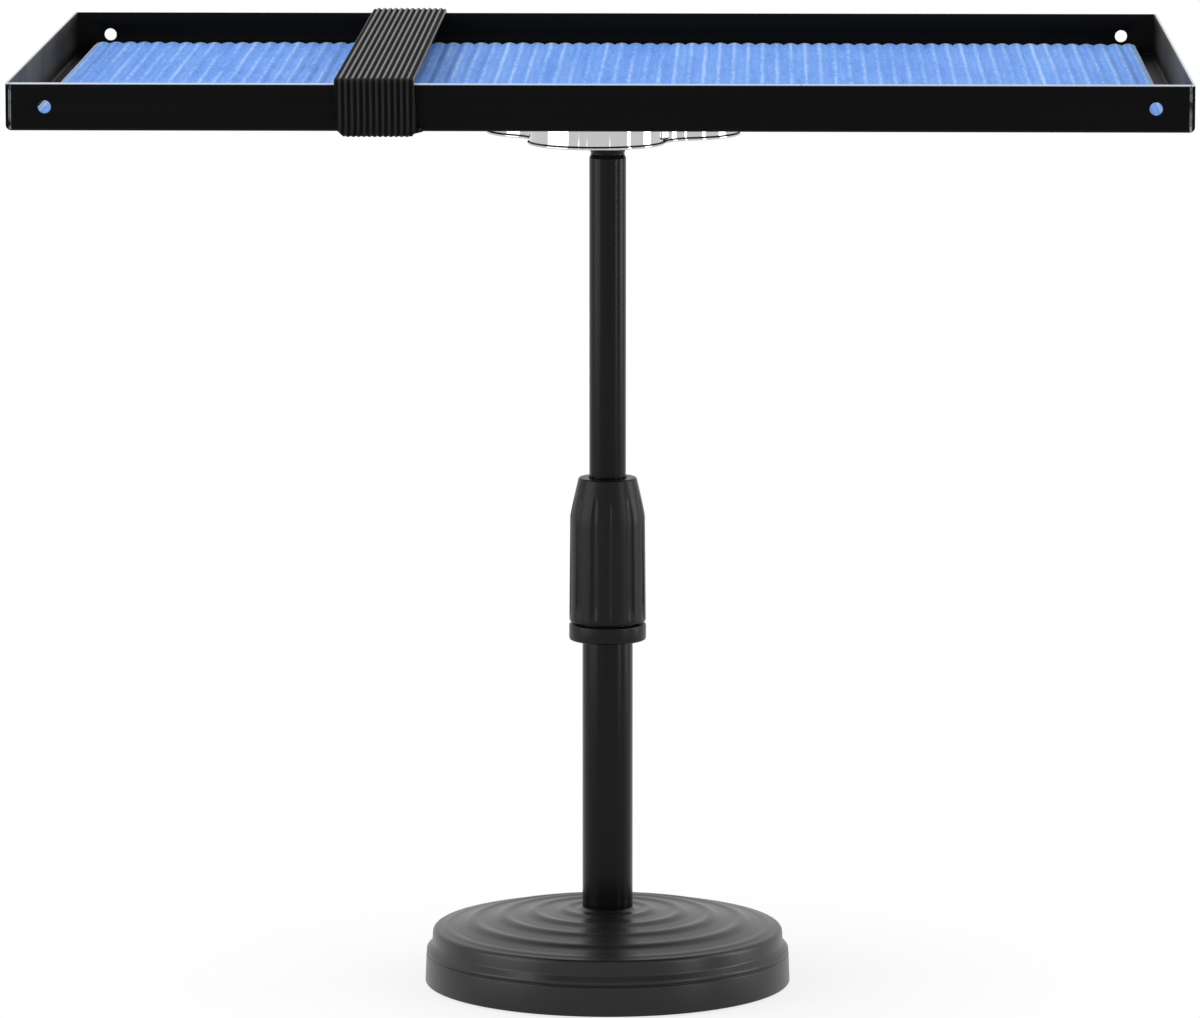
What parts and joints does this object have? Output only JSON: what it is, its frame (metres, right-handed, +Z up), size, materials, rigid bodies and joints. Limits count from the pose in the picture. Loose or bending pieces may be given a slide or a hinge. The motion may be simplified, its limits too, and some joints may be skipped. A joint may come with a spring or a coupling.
{
  "type": "practice pad tray stand",
  "caption": "Shallow folded-steel tray with a ribbed mat and an elastic strap, on a height-adjustable pole with a twist clutch and a round weighted base.",
  "frame": {"origin": "on the ground under the middle of the pole, at the bottom centre of the part's box", "axes": "+X along the tray's length to its right end, +Y across the tray to its rear wall, +Z up"},
  "size_m": [0.49, 0.3446, 0.4143],
  "materials": {
    "cast_black": "satin black powder coat on cast iron",
    "tube_black": "satin black paint on drawn steel tube",
    "tray_black": "satin black powder coat on folded sheet steel",
    "plate_black": "black primer on sheet steel",
    "rubber_black": "matte moulded rubber",
    "zinc_steel": "zinc-plated steel",
    "plug_steel": "turned steel",
    "grip_black": "moulded black plastic with a fine satin texture",
    "bush_plastic": "dark grey moulded nylon",
    "collet_white": "natural acetal",
    "ring_brass": "turned brass",
    "fibre_brown": "pressed fibre",
    "hub_chrome": "mirror chrome on die-cast zinc",
    "mat_blue": "light blue ribbed mat with a fine mottle",
    "strap_black": "ribbed black elastic webbing"
  },
  "bodies": {
    "stand": {"base": "cast_black", "base_pad": "rubber_black", "base_bolt": "zinc_steel", "base_washer": "zinc_steel", "lower_tube": "tube_black", "lower_plug": "plug_steel", "clutch_collar": "grip_black", "clutch_collet": "collet_white", "clutch_ring": "ring_brass"},
    "grip": {"clutch_grip": "grip_black"},
    "pole": {"upper_tube": "tube_black", "guide_bush": "bush_plastic", "thread_plug": "plug_steel", "swivel_washer": "fibre_brown"},
    "table": {"hub": "hub_chrome", "hub_screw_1": "zinc_steel", "hub_screw_2": "zinc_steel", "hub_screw_3": "zinc_steel", "mounting_plate": "plate_black", "tray": "tray_black", "mat": "mat_blue"},
    "band": {"strap": "strap_black"}
  },
  "joints": [
    {"name": "clutch_twist", "type": "hinge", "parent": "stand", "child": "grip", "pos_m": [0, 0, 0.19], "axis": [0, 0, 1], "range_deg": [0, 180]},
    {"name": "height_slide", "type": "slide", "parent": "stand", "child": "pole", "axis": [0, 0, 1], "range_m": [-0.088, 0.024]},
    {"name": "tray_swivel", "type": "hinge", "parent": "pole", "child": "table", "pos_m": [0, 0, 0.38], "axis": [0, 0, 1], "continuous": true},
    {"name": "strap_slide", "type": "slide", "parent": "table", "child": "band", "axis": [1, 0, 0], "range_m": [-0.126, 0.01]}
  ]
}
